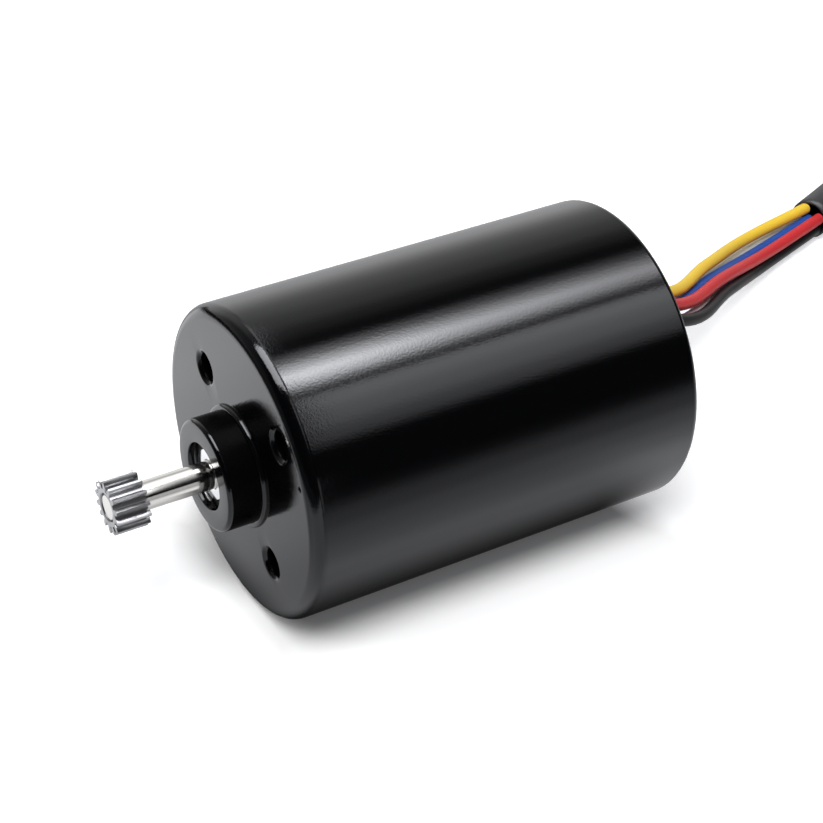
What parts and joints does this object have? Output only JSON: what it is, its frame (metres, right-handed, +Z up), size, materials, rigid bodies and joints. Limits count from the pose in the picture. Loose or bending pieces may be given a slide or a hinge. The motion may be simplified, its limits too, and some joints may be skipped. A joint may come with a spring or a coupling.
{
  "type": "brushless dc motor",
  "caption": "Small black inrunner motor lying on its side: round can with a pilot boss, tapped face holes, a toothed pinion on its shaft and a multi-wire lead with a sleeve and a plug.",
  "frame": {"origin": "centre of the front mounting face, on the shaft's axis", "axes": "-Y along the shaft towards its free end, +Z up with the can lying on its side, +X to the side"},
  "size_m": [0.0539, 0.151, 0.028],
  "materials": {
    "black_can": "gloss",
    "black_cover": "satin",
    "zinc_steel": "satin",
    "black_rubber": "matte",
    "lamination_steel": "satin",
    "ivory_plastic": "matte",
    "copper_wire": "gloss",
    "brass_parts": "satin",
    "green_board": "satin",
    "black_epoxy": "matte",
    "ceramic_chip": "matte",
    "spring_steel": "satin",
    "bearing_steel": "gloss",
    "shield_steel": "satin",
    "ball_steel": "gloss",
    "shaft_steel": "gloss",
    "gear_steel": "satin",
    "rotor_steel": "satin",
    "magnet": "satin",
    "yellow_cover": "satin",
    "blue_cover": "satin",
    "red_cover": "satin",
    "black_cover_wire": "satin",
    "grey_cover": "satin",
    "white_cover": "satin",
    "black_sleeve": "satin",
    "white_plastic": "satin"
  },
  "bodies": {
    "case": {"housing": "black_can", "rear_cover": "black_cover", "cover_screws": "zinc_steel", "lead_grommet": "black_rubber", "stator_core": "lamination_steel", "front_insulator": "ivory_plastic", "rear_insulator": "ivory_plastic", "windings": "copper_wire", "winding_pins": "brass_parts", "circuit_board": "green_board", "hall_sensors": "black_epoxy", "driver_chips": "black_epoxy", "board_capacitors": "ceramic_chip", "wave_washer": "spring_steel", "front_bearing_outer_ring": "bearing_steel", "front_bearing_shields": "shield_steel", "rear_bearing_outer_ring": "bearing_steel", "rear_bearing_shields": "shield_steel", "yellow_wire": "yellow_cover", "blue_wire": "blue_cover", "red_wire": "red_cover", "black_wire": "black_cover_wire", "grey_wire": "grey_cover", "white_wire": "white_cover", "lead_sleeve": "black_sleeve", "lead_coil": "black_sleeve", "connector_leads": "yellow_cover", "connector_housing": "white_plastic", "connector_contacts": "brass_parts"},
    "rotor": {"shaft": "shaft_steel", "pinion": "gear_steel", "rotor_core": "rotor_steel", "rotor_magnets": "magnet", "front_balance_ring": "brass_parts", "rear_balance_ring": "brass_parts", "front_spacer": "brass_parts", "rear_spacer": "brass_parts", "front_bearing_inner_ring": "bearing_steel", "rear_bearing_inner_ring": "bearing_steel"},
    "front_cage": {"front_bearing_balls": "ball_steel", "front_bearing_cage": "brass_parts"},
    "rear_cage": {"rear_bearing_balls": "ball_steel", "rear_bearing_cage": "brass_parts"}
  },
  "joints": [
    {"name": "rotor_spin", "type": "hinge", "parent": "case", "child": "rotor", "pos_m": [0, 0.017, 0], "axis": [0, -1, 0], "continuous": true},
    {"name": "front_cage_spin", "type": "hinge", "parent": "case", "child": "front_cage", "pos_m": [0, -0.0006, 0], "axis": [0, -1, 0], "continuous": true},
    {"name": "rear_cage_spin", "type": "hinge", "parent": "case", "child": "rear_cage", "pos_m": [0, 0.0332, 0], "axis": [0, -1, 0], "continuous": true}
  ],
  "couplings": [
    {"joint": "front_cage_spin", "follows": "rotor_spin", "ratio": 0.36364},
    {"joint": "rear_cage_spin", "follows": "rotor_spin", "ratio": 0.36364}
  ]
}
